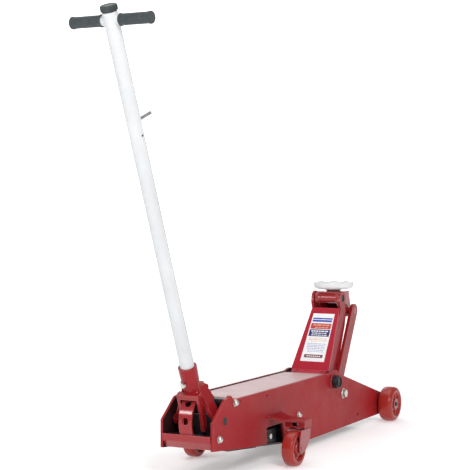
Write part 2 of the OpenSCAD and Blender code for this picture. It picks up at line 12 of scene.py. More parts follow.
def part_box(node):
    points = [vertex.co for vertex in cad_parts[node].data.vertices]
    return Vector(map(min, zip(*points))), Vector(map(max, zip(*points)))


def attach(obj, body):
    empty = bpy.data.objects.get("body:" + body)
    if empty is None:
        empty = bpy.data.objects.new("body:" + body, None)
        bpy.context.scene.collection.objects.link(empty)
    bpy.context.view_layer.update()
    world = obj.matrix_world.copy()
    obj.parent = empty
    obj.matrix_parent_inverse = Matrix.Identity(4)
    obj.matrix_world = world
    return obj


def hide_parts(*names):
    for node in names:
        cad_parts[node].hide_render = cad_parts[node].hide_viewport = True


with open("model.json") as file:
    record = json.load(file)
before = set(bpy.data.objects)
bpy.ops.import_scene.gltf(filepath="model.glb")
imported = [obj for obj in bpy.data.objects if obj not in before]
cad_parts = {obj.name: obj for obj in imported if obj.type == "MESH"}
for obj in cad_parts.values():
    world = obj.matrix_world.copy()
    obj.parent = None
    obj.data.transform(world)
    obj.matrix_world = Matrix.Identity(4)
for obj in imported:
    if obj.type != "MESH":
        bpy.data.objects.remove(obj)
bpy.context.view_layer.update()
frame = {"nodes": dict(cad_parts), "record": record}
NODES = frame["nodes"]
SLOT_OF = {s["node"]: s["material_slot"] for s in frame["record"]["subparts"]}
BODY_OF = {n: b for b, ns in frame["record"]["behaviour"]["bodies"].items() for n in ns}
MM = 0.001
REAR_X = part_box("side_plates")[0][0]  # rear edge of the side plates


# ---------------------------------------------------------------- camera


def add_camera():
    """A long lens behind and to the right of the jack, a little below level."""
    azimuth, pitch = math.radians(-62.76), math.radians(1.14)
    back = Vector((math.sin(azimuth) * math.cos(pitch), -math.cos(azimuth) * math.cos(pitch), math.sin(pitch)))
    data = bpy.data.cameras.new("camera")
    data.sensor_width = 36.0
    data.lens = 102.67
    data.clip_end = 60.0
    camera = bpy.data.objects.new("camera", data)
    camera.location = (REAR_X - 3.2141, -1.805, 0.7554)
    camera.rotation_euler = (-back).to_track_quat("-Z", "Y").to_euler()
    bpy.context.scene.collection.objects.link(camera)
    bpy.context.scene.camera = camera


add_camera()


# ---------------------------------------------------------------- node helpers


class Shade:
    """Short calls for building one material's node tree."""

    def __init__(self, name):
        self.mat = bpy.data.materials.new(name)
        self.mat.use_nodes = True
        self.tree = self.mat.node_tree
        self.bsdf = self.tree.nodes["Principled BSDF"]
        self.coord = self.add("ShaderNodeTexCoord").outputs["Object"]

    def add(self, kind, **values):
        node = self.tree.nodes.new(kind)
        for key, value in values.items():
            setattr(node, key, value)
        return node

    def link(self, a, b):
        self.tree.links.new(a, b)

    def feed(self, socket, value):
        if isinstance(value, bpy.types.NodeSocket):
            self.link(value, socket)
        else:
            socket.default_value = value

    def noise(self, scale, detail=4.0, rough=0.55, stretch=(1, 1, 1), distortion=0.0):
        mapping = self.add("ShaderNodeMapping")
        self.link(self.coord, mapping.inputs["Vector"])
        mapping.inputs["Scale"].default_value = stretch
        node = self.add("ShaderNodeTexNoise")
        self.link(mapping.outputs["Vector"], node.inputs["Vector"])
        node.inputs["Scale"].default_value = scale
        node.inputs["Detail"].default_value = detail
        node.inputs["Roughness"].default_value = rough
        node.inputs["Distortion"].default_value = distortion
        return node.outputs["Fac"]

    def ramp(self, fac, low, high, out_low=0.0, out_high=1.0):
        node = self.add("ShaderNodeMapRange")
        node.interpolation_type = "SMOOTHSTEP"
        self.feed(node.inputs["Value"], fac)
        for key, value in zip(("From Min", "From Max", "To Min", "To Max"), (low, high, out_low, out_high)):
            node.inputs[key].default_value = value
        return node.outputs["Result"]

    def math(self, op, a, b=0.0):
        node = self.add("ShaderNodeMath", operation=op)
        self.feed(node.inputs[0], a)
        self.feed(node.inputs[1], b)
        return node.outputs[0]

    def mix(self, fac, a, b):
        node = self.add("ShaderNodeMix", data_type="RGBA")
        self.feed(node.inputs["Factor"], fac)
        self.feed(node.inputs[6], a if isinstance(a, bpy.types.NodeSocket) else (*a[:3], 1.0))
        self.feed(node.inputs[7], b if isinstance(b, bpy.types.NodeSocket) else (*b[:3], 1.0))
        return node.outputs[2]

    def edges(self, radius):
        """1 on edges and corners, 0 on flats."""
        bevel = self.add("ShaderNodeBevel", samples=4)
        bevel.inputs["Radius"].default_value = radius
        geometry = self.add("ShaderNodeNewGeometry")
        dot = self.add("ShaderNodeVectorMath", operation="DOT_PRODUCT")
        self.link(bevel.outputs["Normal"], dot.inputs[0])
        self.link(geometry.outputs["Normal"], dot.inputs[1])
        return self.ramp(dot.outputs["Value"], 0.995, 0.9, 0.0, 1.0)

    def inside(self):
        """1 on what faces the space between the side plates, 0 outside them."""
        split = self.add("ShaderNodeSeparateXYZ")
        self.link(self.coord, split.inputs[0])
        return self.ramp(self.math("ABSOLUTE", split.outputs["Y"]), 0.0752, 0.0762, 1.0, 0.0)

    def upward(self):
        geometry = self.add("ShaderNodeNewGeometry")
        split = self.add("ShaderNodeSeparateXYZ")
        self.link(geometry.outputs["Normal"], split.inputs[0])
        return self.ramp(split.outputs["Z"], 0.5, 1.0)

    def bump(self, height, strength, distance, normal=None):
        node = self.add("ShaderNodeBump")
        node.inputs["Strength"].default_value = strength
        node.inputs["Distance"].default_value = distance
        self.feed(node.inputs["Height"], height)
        if normal is not None:
            self.link(normal, node.inputs["Normal"])
        return node.outputs["Normal"]

    def finish(self, color, rough, normal=None, **constant):
        self.feed(self.bsdf.inputs["Base Color"], color)
        self.feed(self.bsdf.inputs["Roughness"], rough)
        if normal is not None:
            self.link(normal, self.bsdf.inputs["Normal"])
        for key, value in constant.items():
            self.bsdf.inputs[key.replace("_", " ")].default_value = value
        return self.mat


def scaled(color, k):
    """A color made lighter or darker."""
    return tuple(min(1.0, c * k) for c in color)


# ---------------------------------------------------------------- materials


def paint(name, color, rough=0.42, wear=0.5, chip=(0.16, 0.13, 0.13), dust=0.06, coat=0.08, texture=1.0,
          shaded_inside=0.0, shine=0.3):
    """Sprayed enamel on steel: orange peel, broad tone shifts, a painted highlight of paler paint along the edges,
    chipped paint on edges, dust on top.
    """
    s = Shade(name)
    tone = s.mix(s.ramp(s.noise(4.0), 0.3, 0.7), scaled(color, 0.93), scaled(color, 1.06))
    tone = s.mix(s.ramp(s.noise(70.0, 6.0), 0.35, 0.8, 0.0, 0.22), tone, scaled(color, 0.8))
    edge = s.edges(0.0022)
    # painted highlight: edges mixed towards a paler tone of the paint colour
    tone = s.mix(s.math("MULTIPLY", edge, 0.45), tone, tuple(0.7 * c + 0.22 for c in color))
    chips = s.math("MULTIPLY", edge, s.ramp(s.noise(260.0, 3.0), 0.62, 0.7, 0.0, wear))
    tone = s.mix(chips, tone, chip)
    grime = s.math("MULTIPLY", s.upward(), s.ramp(s.noise(28.0, 6.0), 0.45, 0.8, 0.0, dust))
    tone = s.mix(grime, tone, (0.42, 0.38, 0.36))
    # painted shade: faces between the side plates darkened almost to black
    if shaded_inside:
        tone = s.mix(s.math("MULTIPLY", s.inside(), shaded_inside), tone, (0.012, 0.013, 0.013))
    gloss = s.ramp(s.noise(18.0, 5.0), 0.25, 0.8, rough - 0.05, rough + 0.08)
    gloss = s.math("ADD", gloss, s.math("MULTIPLY", grime, 0.6))
    peel = s.bump(s.noise(420.0, 2.0), 0.1 * texture, 0.0005)
    normal = s.bump(s.noise(35.0, 3.0), 0.05 * texture, 0.0018, peel)
    return s.finish(tone, gloss, normal, Coat_Weight=coat, Coat_Roughness=0.15, Specular_IOR_Level=shine)


def plated(name, color, rough=0.32, metallic=0.95):
    """Zinc-plated steel: cloudy spangle, faint warm tint, fine scratches."""
    s = Shade(name)
    cloud = s.ramp(s.noise(55.0, 5.0), 0.3, 0.75)
    tone = s.mix(cloud, scaled(color, 0.86), scaled(color, 1.06))
    tone = s.mix(s.ramp(s.noise(24.0, 3.0, distortion=1.0), 0.45, 0.8, 0.0, 0.3), tone, (0.72, 0.64, 0.46))
    dirt = s.ramp(s.noise(160.0, 4.0), 0.62, 0.8, 0.0, 0.5)
    tone = s.mix(dirt, tone, (0.2, 0.18, 0.16))
    gloss = s.ramp(s.noise(90.0, 4.0), 0.25, 0.8, rough - 0.08, rough + 0.14)
    normal = s.bump(s.noise(600.0, 2.0, stretch=(1, 1, 0.2)), 0.15, 0.0004)
    return s.finish(tone, gloss, normal, Metallic=metallic)


def bare_steel(name, color, rough=0.28):
    """Turned or drawn steel: fine lines across its length, oil film."""
    s = Shade(name)
    lines = s.noise(900.0, 2.0, stretch=(1.0, 0.06, 1.0))
    tone = s.mix(s.ramp(lines, 0.3, 0.7), scaled(color, 0.8), scaled(color, 1.1))
    tone = s.mix(s.ramp(s.noise(20.0, 5.0), 0.5, 0.8, 0.0, 0.45), tone, (0.16, 0.13, 0.1))
    gloss = s.ramp(s.noise(50.0, 3.0), 0.2, 0.8, rough - 0.08, rough + 0.18)
    normal = s.bump(lines, 0.2, 0.0003)
    return s.finish(tone, gloss, normal, Metallic=1.0)


def black_oxide(name):
    """Oiled black steel, paler on its edges."""
    s = Shade(name)
    tone = s.mix(s.ramp(s.noise(60.0, 5.0), 0.3, 0.75), (0.018, 0.018, 0.02), (0.055, 0.055, 0.06))
    tone = s.mix(s.math("MULTIPLY", s.edges(0.0015), 0.5), tone, (0.2, 0.2, 0.21))
    normal = s.bump(s.noise(500.0, 2.0), 0.2, 0.0004)
    return s.finish(tone, s.ramp(s.noise(80.0), 0.2, 0.8, 0.32, 0.55), normal, Metallic=0.6)


def cast_iron(name):
    """Rough grey casting."""
    s = Shade(name)
    tone = s.mix(s.ramp(s.noise(40.0, 6.0), 0.3, 0.75), (0.1, 0.1, 0.105), (0.24, 0.235, 0.23))
    normal = s.bump(s.noise(260.0, 4.0), 0.5, 0.0012)
    return s.finish(tone, s.ramp(s.noise(60.0), 0.2, 0.8, 0.5, 0.75), normal, Metallic=0.4)


def flat_ink(name, color):
    """Printing ink on the label film."""
    s = Shade(name)
    tone = s.mix(s.ramp(s.noise(120.0, 5.0), 0.3, 0.75), scaled(color, 0.9), scaled(color, 1.1))
    normal = s.bump(s.noise(45.0, 2.0), 0.1, 0.001)
    return s.finish(tone, s.ramp(s.noise(25.0), 0.2, 0.8, 0.3, 0.45), normal)


def rubber(name, color):
    """Moulded grip rubber: matt, dusty in the pores, polished on the edges."""
    s = Shade(name)
    tone = s.mix(s.ramp(s.noise(90.0, 6.0), 0.3, 0.75), scaled(color, 0.88), scaled(color, 1.16))
    dust = s.math("MULTIPLY", s.upward(), s.ramp(s.noise(40.0, 4.0), 0.4, 0.8, 0.0, 0.1))
    tone = s.mix(dust, tone, (0.28, 0.3, 0.3))
    pores = s.noise(1400.0, 3.0)
    normal = s.bump(s.noise(220.0, 3.0), 0.25, 0.0008, s.bump(pores, 0.35, 0.0004))
    return s.finish(tone, s.ramp(s.noise(70.0), 0.2, 0.8, 0.5, 0.75), normal, Sheen_Weight=0.15, Sheen_Roughness=0.5)


def moulded_plastic(name, color):
    """Fine-grained dark plastic, slightly worn on its edges."""
    s = Shade(name)
    tone = s.mix(s.ramp(s.noise(60.0, 5.0), 0.3, 0.75), scaled(color, 0.8), scaled(color, 1.25))
    tone = s.mix(s.math("MULTIPLY", s.edges(0.0012), 0.4), tone, scaled(color, 3.0))
    normal = s.bump(s.noise(800.0, 2.0), 0.3, 0.0004)
    return s.finish(tone, s.ramp(s.noise(45.0), 0.2, 0.8, 0.34, 0.5), normal)


def printed(name, color):
    """Vinyl label film, slightly rippled, with scuffs."""
    s = Shade(name)
    tone = s.mix(s.ramp(s.noise(30.0, 5.0), 0.3, 0.75), scaled(color, 0.94), scaled(color, 1.03))
    tone = s.mix(s.ramp(s.noise(240.0, 5.0, stretch=(1, 0.2, 1)), 0.68, 0.8, 0.0, 0.3), tone, (0.5, 0.48, 0.47))
    normal = s.bump(s.noise(45.0, 2.0), 0.12, 0.0012)
    return s.finish(tone, s.ramp(s.noise(25.0), 0.2, 0.8, 0.25, 0.42), normal, Coat_Weight=0.4, Coat_Roughness=0.15)


MATS = {
    "red_paint": paint("red_paint", (0.33, 0.010, 0.014), rough=0.36, coat=0.9, shine=0.14),
    # painted highlight: the red cover is given a pale pink that stands for light reflected off its top
    "cover_paint": paint("cover_paint", (0.55, 0.37, 0.37), rough=0.5, dust=0.08, coat=0.05),
    "arm_paint": paint("arm_paint", (0.45, 0.010, 0.030), rough=0.34, coat=0.25),
    "wheel_paint": paint("wheel_paint", (0.36, 0.020, 0.013), rough=0.36, coat=0.4, wear=0.8, chip=(0.2, 0.16, 0.15)),
    "zinc": plated("zinc", (0.66, 0.66, 0.63)),
    "black_steel": black_oxide("black_steel"),
    "steel": bare_steel("steel", (0.50, 0.50, 0.51)),
    "cast_block": cast_iron("cast_block"),
    "handle_white": paint("handle_white", (0.70, 0.71, 0.72), wear=0.2, chip=(0.5, 0.5, 0.5), dust=0.02, texture=0.4),
    "saddle_white": paint("saddle_white", (0.78, 0.79, 0.78), wear=0.5, chip=(0.4, 0.39, 0.37), dust=0.03),
    "rubber": rubber("rubber", (0.032, 0.043, 0.045)),
    "knob_plastic": moulded_plastic("knob_plastic", (0.030, 0.039, 0.041)),
    "label": printed("label", (0.92, 0.92, 0.93)),
}
# the side plates' inner faces get painted shade, almost black
PLATE_PAINT = paint("plate_paint", (0.35, 0.013, 0.017), texture=0.35, shaded_inside=0.92, coat=0.0, shine=0.16)
CHEEK_PAINT = paint("cheek_paint", (0.31, 0.009, 0.013), rough=0.36, coat=0.3, shine=0.14)
# near-black red for the reservoir and belly plate: partly the unit's own dark paint, partly painted shade of the space
# inside the frame
PUMP_PAINT_AND_SHADE = paint("pump_paint_and_shade", (0.05, 0.012, 0.012), rough=0.5)
PEG_STEEL = plated("peg_steel", (0.24, 0.24, 0.25), rough=0.45, metallic=0.5)
# painted shade: a darker copy of the red paint for the arm's webs
WEB_PAINTED_SHADE = paint("web_painted_shade", (0.20, 0.010, 0.016), rough=0.5)
INKS = {
    "blue": flat_ink("ink_blue", (0.06, 0.09, 0.42)),
    "navy": flat_ink("ink_navy", (0.03, 0.035, 0.16)),
    "red": flat_ink("ink_red", (0.50, 0.05, 0.05)),
    "orange": flat_ink("ink_orange", (0.75, 0.36, 0.25)),
    "grey": flat_ink("ink_grey", (0.36, 0.40, 0.60)),
    "yellow": flat_ink("ink_yellow", (0.78, 0.66, 0.40)),
    "pink": flat_ink("ink_pink", (0.76, 0.44, 0.46)),
    "maroon": flat_ink("ink_maroon", (0.20, 0.055, 0.075)),
}


def dress(obj, slot):
    """Gives an object the material of a slot."""
    obj.data.materials.clear()
    obj.data.materials.append(MATS[slot])


# ---------------------------------------------------------------- mesh helpers


def shade_by_angle(mesh, angle=32.0):
    """Smooth faces with sharp creases above an angle."""
    for poly in mesh.polygons:
        poly.use_smooth = True
    mesh.set_sharp_from_angle(angle=math.radians(angle))


def as_piece(name, mesh, body, slot, *replaced):
    """Links a finished mesh as a piece that rides on a body."""
    obj = bpy.data.objects.new(name, mesh)
    bpy.context.scene.collection.objects.link(obj)
    if not obj.data.materials:
        obj.data.materials.append(MATS[slot])
    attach(obj, body)
    if replaced:
        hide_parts(*replaced)
    return obj


def apply_modifiers(obj):
    """Bakes the modifiers into the mesh."""
    depsgraph = bpy.context.evaluated_depsgraph_get()
    mesh = bpy.data.meshes.new_from_object(obj.evaluated_get(depsgraph))
    obj.modifiers.clear()
    old = obj.data
    obj.data = mesh
    bpy.data.meshes.remove(old)


def soften(node, width, segments=2, angle=28.0):
    """Stands for a CAD node with the same solid and rounded edges."""
    mesh = NODES[node].data.copy()
    bm = bmesh.new()
    bm.from_mesh(mesh)
    bmesh.ops.remove_doubles(bm, verts=bm.verts, dist=1e-6)
    bmesh.ops.dissolve_limit(bm, angle_limit=math.radians(0.6), verts=bm.verts, edges=bm.edges)
    bm.to_mesh(mesh)
    bm.free()
    mesh.materials.clear()
    obj = as_piece(node + "_finished", mesh, BODY_OF[node], SLOT_OF[node], node)
    bevel = obj.modifiers.new("bevel", "BEVEL")
    bevel.width = width
    bevel.segments = segments
    bevel.limit_method = "ANGLE"
    bevel.angle_limit = math.radians(angle)
    bevel.harden_normals = False
    apply_modifiers(obj)
    shade_by_angle(obj.data)
    even = obj.modifiers.new("even", "WEIGHTED_NORMAL")
    even.keep_sharp = True
    even.weight = 90
    apply_modifiers(obj)
    return obj


for name, node in NODES.items():
    dress(node, SLOT_OF[name])

# the reservoir and belly plate get the near-black paint, which carries painted shade
for name in ("reservoir", "belly_plate"):
    NODES[name].data.materials[0] = PUMP_PAINT_AND_SHADE


# ---------------------------------------------------------------- CAD shapes with rounded edges

EDGE_WIDTHS = {
    "side_plates": 0.9, "rear_tray": 1.4, "handle_strap": 1.0, "yoke": 1.6, "inner_frame": 1.4,
    "handle_socket": 1.3, "top_cover": 1.3, "arm_top_plate": 1.2, "arm_cheeks": 1.2, "arm_webs": 0.8,
    "link_bars": 1.6, "saddle_bracket": 1.6, "caster_brackets": 1.2, "caster_fork_right": 1.2,
    "caster_fork_left": 1.2, "spacer_bolts": 0.7, "link_pivot_bolts": 0.8, "lift_nuts": 1.4,
    "clamp_bolt": 0.8, "unit_plugs": 0.7, "caster_king_bolts": 0.7, "handle_tube": 0.8, "pump_block": 2.0,
    "unit_cradle": 1.5, "yoke_pins": 0.5, "arm_pins": 0.8, "axle_caps": 1.0, "axle_bolts": 0.6,
    "crosshead": 1.5, "lock_plunger": 0.9, "push_lugs": 1.0, "spacer_tubes": 0.6, "lift_shaft": 1.5,
    "pump_plunger": 1.0, "link_pin": 1.0, "release_rod": 0.6, "saddle_stem": 0.8,
}


def add_softened():
    """Every CAD shape that is right as it is, with soft edges and its own paint."""
    for node, width in EDGE_WIDTHS.items():
        obj = soften(node, width * MM)
        if node == "side_plates":
            obj.data.materials[0] = PLATE_PAINT
        if node in ("arm_cheeks", "link_bars", "yoke", "handle_socket", "caster_brackets"):
            obj.data.materials[0] = CHEEK_PAINT
        if node == "arm_webs":
            obj.data.materials[0] = WEB_PAINTED_SHADE
        if node == "lock_plunger":
            obj.data.materials[0] = PEG_STEEL


# ---------------------------------------------------------------- turned and moulded pieces


def turned(profile, steps, place, closed=True, shape=None):
    """Spins (radius, height) points round local Z; shape(radius, height, angle) may move each one."""
    bm = bmesh.new()
    rings = []
    for i in range(steps):
        angle = 2 * math.pi * i / steps
        ring = []
        for r, h in profile:
            rr, hh = shape(r, h, angle) if shape else (r, h)
            ring.append(bm.verts.new(place @ Vector((rr * math.cos(angle), rr * math.sin(angle), hh))))
        rings.append(ring)
    count = len(profile)
    last = count if closed else count - 1
    for i in range(steps):
        a, b = rings[i], rings[(i + 1) % steps]
        for k in range(last):
            bm.faces.new((a[k], b[k], b[(k + 1) % count], a[(k + 1) % count]))
    bmesh.ops.recalc_face_normals(bm, faces=bm.faces)
    return bm


def round_corner(r, h, radius, a0, a1, steps):
    """Points round a corner, as (radius, height)."""
    out = []
    for i in range(steps + 1):
        a = math.radians(a0 + (a1 - a0) * i / steps)
        out.append((r + radius * math.cos(a), h + radius * math.sin(a)))
    return out


def mesh_of(bm, name, angle=32.0):
    """Turns a bmesh into a mesh, smooth up to an angle."""
    mesh = bpy.data.meshes.new(name)
    bm.to_mesh(mesh)
    bm.free()
    shade_by_angle(mesh, angle)
    return mesh


def add_block(bm, place, size, bevel):
    """A box with rounded edges, centred on its place."""
    made = bmesh.ops.create_cube(bm, size=1.0, matrix=place @ Matrix.Diagonal((*size, 1.0)))
    edges = list({e for v in made["verts"] for e in v.link_edges})
    bmesh.ops.bevel(bm, geom=edges, offset=bevel, segments=2, profile=0.5, affect="EDGES")


def wheel_profile(r, w, bore, hub_depth, corner, recess):
    """Crowned tread, rounded shoulders, dished recess and hub, round the wheel's middle plane."""
    half = w / 2
    hub = 0.37 * r
    floor = half - recess
    side = [(bore, half - hub_depth), (hub - 0.0012, half - hub_depth), (hub, half - hub_depth - 0.0012),
            (hub + 0.0016, floor + 0.001), (hub + 0.003, floor), (0.60 * r, floor + 0.0008),
            (0.665 * r, half - 0.0035), (0.70 * r, half - 0.0008), (0.725 * r, half)]
    rounding = round_corner(r - corner - 0.0006, half - corner, corner, 90, 12, 8)
    shoulder = [(min(rr, r - 0.0006), hh) for rr, hh in rounding]
    tread = [(r - 0.0002, half * 0.35), (r, 0.0), (r - 0.0002, -half * 0.35)]
    mirrored = [(rr, -hh) for rr, hh in reversed(side + shoulder)]
    return side + shoulder + tread + mirrored


def add_wheel(node, centre, r, w, bore, hub_depth, corner, recess, ribs):
    side = -1.0 if centre[1] < 0 else 1.0
    place = Matrix.Translation(centre) @ Matrix.Rotation(-side * math.pi / 2, 4, "X")
    bm = turned(wheel_profile(r, w, bore, hub_depth, corner, recess), 96, place)
    for i in range(ribs):
        turn = Matrix.Rotation((i + 0.5) * 2 * math.pi / ribs, 4, "Z")
        for face in (-1, 1):
            where = place @ turn @ Matrix.Translation((0.515 * r, 0.0, face * (w / 2 - recess + 0.002)))
            add_block(bm, where, (0.36 * r, 0.0048, 0.0075), 0.0012)
    as_piece(node + "_cast", mesh_of(bm, node + "_cast", 38.0), BODY_OF[node], "wheel_paint", node)


def add_wheels():
    """The two front wheels and the two caster wheels."""
    for side, name in ((-1, "right"), (1, "left")):
        low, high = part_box("front_wheel_" + name)
        centre = [(a + b) / 2 for a, b in zip(low, high)]
        add_wheel("front_wheel_" + name, (REAR_X + 1.272, centre[1], 0.0605), 0.0605, 0.052, 0.01406,
                  0.0052, 0.0135, 0.0105, 6)
        low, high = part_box("caster_wheel_" + name)
        centre = [(a + b) / 2 for a, b in zip(low, high)]
        add_wheel("caster_wheel_" + name, (REAR_X + 0.348, centre[1], 0.052), 0.052, 0.037, 0.00806,
                  0.0, 0.0075, 0.0095, 5)


def add_saddle():
    """Dished saddle with a rim of eight broad waves."""
    low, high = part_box("saddle")
    centre = Vector(((low[0] + high[0]) / 2, 0.0, 0.0))
    base, top, r = low[2], high[2], (high[0] - low[0]) / 2

    def waved(radius, height, angle):
        if height < top - 0.009:
            return radius, height
        wave = 0.5 + 0.5 * math.cos(8 * angle + math.pi)
        return radius, height - 0.0046 * (1 - wave) ** 1.5

    profile = [(0.01403, base), (0.029, base), (0.030, base + 0.001), (0.030, base + 0.0032),
               (r - 0.012, base + 0.0036), (r - 0.006, base + 0.0055), (r - 0.0022, base + 0.009),
               (r - 0.0004, base + 0.0135), (r, top - 0.005), (r - 0.0006, top - 0.0022), (r - 0.0025, top - 0.0004),
               (r - 0.0045, top), (r - 0.0085, top - 0.0006), (r - 0.0115, top - 0.0035), (r - 0.013, top - 0.0085),
               (r - 0.0145, base + 0.0122), (r - 0.017, base + 0.0115), (0.01403, base + 0.0115)]
    bm = turned(profile, 240, Matrix.Translation(centre), shape=waved)
    bmesh.ops.recalc_face_normals(bm, faces=bm.faces)
    as_piece("saddle_cast", mesh_of(bm, "saddle_cast", 40.0), "saddle", "saddle_white", "saddle")


def handle_place():
    """Local frame of the handle: origin on its pivot, Z up the tube."""
    return Matrix.Translation((REAR_X + 0.070, 0.0, 0.165)) @ Matrix.Rotation(math.radians(-23.0), 4, "Y")


def add_grips():
    """Moulded grips with a flange, a rounded end and fine lengthwise ribs."""
    half = (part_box("grips")[1][1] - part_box("grips")[0][1]) / 2
    r, flange = 0.0150, 0.0165
    inner, bore = 0.026, 0.01346

    def ribbed(radius, height, angle):
        if radius > r - 0.0003 and inner + 0.008 < height < half - 0.012:
            return radius - 0.0005 * (0.5 + 0.5 * math.cos(28 * angle)), height
        return radius, height

    profile = [(bore, inner), (flange - 0.001, inner), (flange, inner + 0.001), (flange, inner + 0.004),
               (flange - 0.0008, inner + 0.0052), (r, inner + 0.0068)]
    profile += [(r, inner + 0.0085 + (half - inner - 0.021) * i / 12) for i in range(13)]
    profile += [(flange - 0.0004, half - 0.0085), (flange, half - 0.0065)]
    profile += [(flange - 0.0045 + 0.0045 * math.cos(a), half - 0.0055 + 0.0055 * math.sin(a))
                for a in [math.radians(15 * i) for i in range(1, 7)]]
    profile += [(0.006, half), (0.0, half)]
    cavity = [(0.0, half - 0.004), (bore, half - 0.004)]
    parts = []
    for side in (-1, 1):
        place = handle_place() @ Matrix.Translation((0, 0, 1.150)) @ Matrix.Rotation(-side * math.pi / 2, 4, "X")
        bm = turned(profile + cavity, 112, place, shape=ribbed)
        bmesh.ops.remove_doubles(bm, verts=bm.verts, dist=1e-7)
        parts.append(bm)
    mesh = bpy.data.meshes.new("grips_moulded")
    for bm in parts[1:]:
        extra = bpy.data.meshes.new("extra")
        bm.to_mesh(extra)
        bm.free()
        parts[0].from_mesh(extra)
        bpy.data.meshes.remove(extra)
    parts[0].to_mesh(mesh)
    parts[0].free()
    shade_by_angle(mesh, 40.0)
    as_piece("grips_moulded", mesh, "handle", "rubber", "grips")


def add_knob():
    """Release knob with a fluted rim and a shallow dished top."""
    r, low, high = 0.0225, 1.173, 1.190

    def fluted(radius, height, angle):
        if radius > r - 0.0016:
            return radius - 0.0011 * (0.5 + 0.5 * math.cos(18 * angle + math.pi)), height
        return radius, height

    profile = [(0.00603, low), (r - 0.003, low), (r - 0.0012, low + 0.0012), (r, low + 0.003), (r, high - 0.0036),
               (r - 0.0008, high - 0.0018), (r - 0.0026, high - 0.0004), (r - 0.005, high), (r - 0.008, high - 0.0006),
               (0.0, high - 0.0006), (0.0, high - 0.0009), (0.00603, high - 0.0009)]
    bm = turned(profile, 144, handle_place(), shape=fluted)
    bmesh.ops.remove_doubles(bm, verts=bm.verts, dist=1e-7)
    mesh = mesh_of(bm, "release_knob_moulded", 40.0)
    as_piece("release_knob_moulded", mesh, "release_knob", "knob_plastic", "release_knob")


def add_tube_screw():
    """Small screw in a white collar on the tube, just below the lock peg."""
    side = Matrix.Rotation(math.radians(-104.0), 4, "Z") @ Matrix.Translation((0.0194, 0.0, 0.846))
    place = handle_place() @ side @ Matrix.Rotation(math.pi / 2, 4, "Y")
    collar = [(0.0031, 0.0), (0.0060, 0.0), (0.0060, 0.0012), (0.0050, 0.0022), (0.0031, 0.0022)]
    head = [(0.0, 0.0), (0.0030, 0.0), (0.0030, 0.0020), (0.0022, 0.0030), (0.0, 0.0034)]
    for name, profile, slot in (
        ("tube_screw_collar", collar, "handle_white"), ("tube_screw_head", head, "black_steel"),
    ):
        bm = turned(profile, 40, place)
        bmesh.ops.remove_doubles(bm, verts=bm.verts, dist=1e-7)
        as_piece(name, mesh_of(bm, name, 40.0), "handle", slot)


# ---------------------------------------------------------------- label


def arm_place():
    """Local frame of the arm's top plate: X up the arm, Z off its top face, in metres."""
    lift = Matrix.Translation((REAR_X + 0.836, 0.0, 0.187)) @ Matrix.Rotation(math.radians(-60.0), 4, "Y")
    return lift @ Matrix.Translation((0.026, 0.0, 0.021)) @ Matrix.Rotation(math.radians(4.09), 4, "Y")


LABEL_BANDS = (  # from, to up the arm, side margin, ink
    (0.1937, 0.1994, 0.004, "blue"), (0.1837, 0.1913, 0.004, "blue"), (0.1566, 0.1780, 0.003, "red"),
    (0.1280, 0.1542, 0.003, "navy"), (0.0470, 0.0590, 0.009, "maroon"),
)
LABEL_ROWS = (  # start up the arm, height, side margin, shortest bar, longest bar, ink
    (0.1690, 0.0050, 0.010, 0.006, 0.018, "orange"), (0.1600, 0.0044, 0.012, 0.006, 0.016, "orange"),
    (0.1455, 0.0046, 0.010, 0.005, 0.014, "film"), (0.1385, 0.0030, 0.014, 0.004, 0.012, "film"),
    (0.1315, 0.0030, 0.012, 0.004, 0.012, "film"),
    (0.1195, 0.0032, 0.008, 0.010, 0.024, "yellow"), (0.1135, 0.0028, 0.008, 0.008, 0.020, "pink"),
    (0.1078, 0.0028, 0.008, 0.010, 0.022, "yellow"),
    (0.0985, 0.0024, 0.008, 0.004, 0.013, "grey"), (0.0925, 0.0024, 0.008, 0.004, 0.013, "grey"),
    (0.0865, 0.0024, 0.010, 0.004, 0.013, "grey"), (0.0805, 0.0024, 0.008, 0.004, 0.013, "grey"),
    (0.0745, 0.0024, 0.012, 0.004, 0.013, "grey"), (0.0690, 0.0022, 0.010, 0.004, 0.012, "grey"),
    (0.0510, 0.0036, 0.018, 0.004, 0.007, "film"),
)


